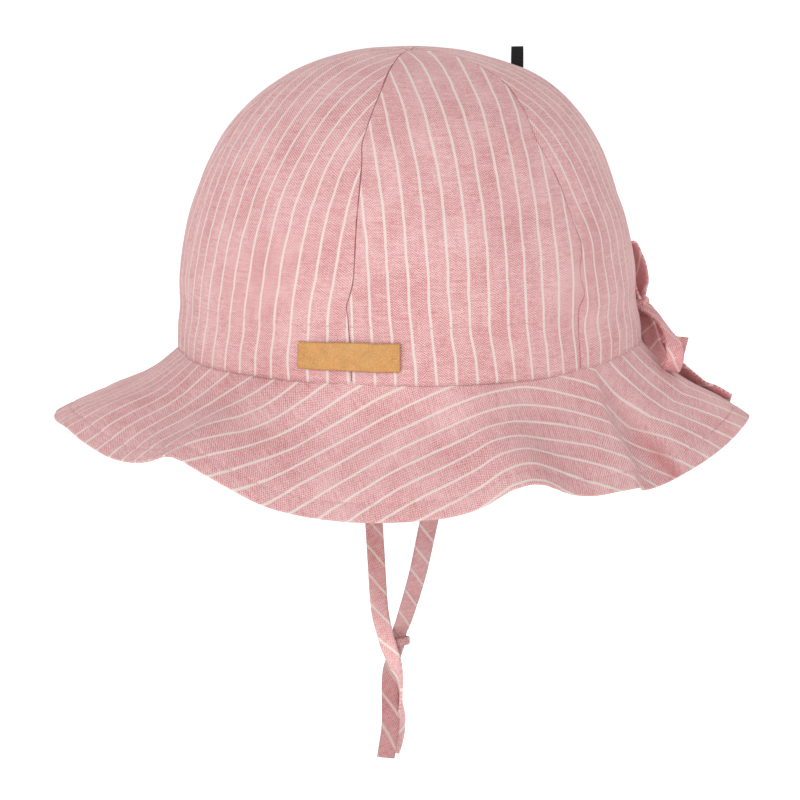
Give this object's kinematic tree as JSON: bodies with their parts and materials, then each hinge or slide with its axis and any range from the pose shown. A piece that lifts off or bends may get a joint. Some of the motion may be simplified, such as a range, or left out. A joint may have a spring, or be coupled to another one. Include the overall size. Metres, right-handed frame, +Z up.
{
  "type": "baby sun hat",
  "caption": "Soft sun hat for a baby: a gored crown, a wavy brim, chin ties knotted together, a patch label, a small tag and a bow at the back.",
  "frame": {"origin": "middle of the head opening, at the height of the seam between crown and brim", "axes": "+Z up along the crown's axis, -Y to the wearer's front, +X to the wearer's left"},
  "size_m": [0.2354, 0.235, 0.2496],
  "materials": {
    "crown_linen": "pink linen with cream stripes, matt",
    "brim_linen": "pink linen with cream stripes, matt",
    "tie_linen": "pink linen cut on the bias, with cream stripes, matt",
    "bow_linen": "pink linen cut on the bias, with cream stripes, matt",
    "tan_patch": "smooth tan, satin",
    "black_tape": "black woven tape, matt"
  },
  "bodies": {
    "root": {"crown_gore_1": "crown_linen", "crown_gore_2": "crown_linen", "crown_gore_3": "crown_linen", "crown_gore_4": "crown_linen", "crown_gore_5": "crown_linen", "crown_gore_6": "crown_linen", "brim": "brim_linen", "label_patch": "tan_patch", "seam_tag": "black_tape", "chin_tie_left": "tie_linen", "chin_tie_right": "tie_linen", "tie_wrap": "tie_linen", "bow_knot": "bow_linen", "bow_loop_upper": "bow_linen", "bow_loop_lower": "bow_linen", "bow_tail_long": "bow_linen", "bow_tail_short": "bow_linen"}
  },
  "joints": []
}
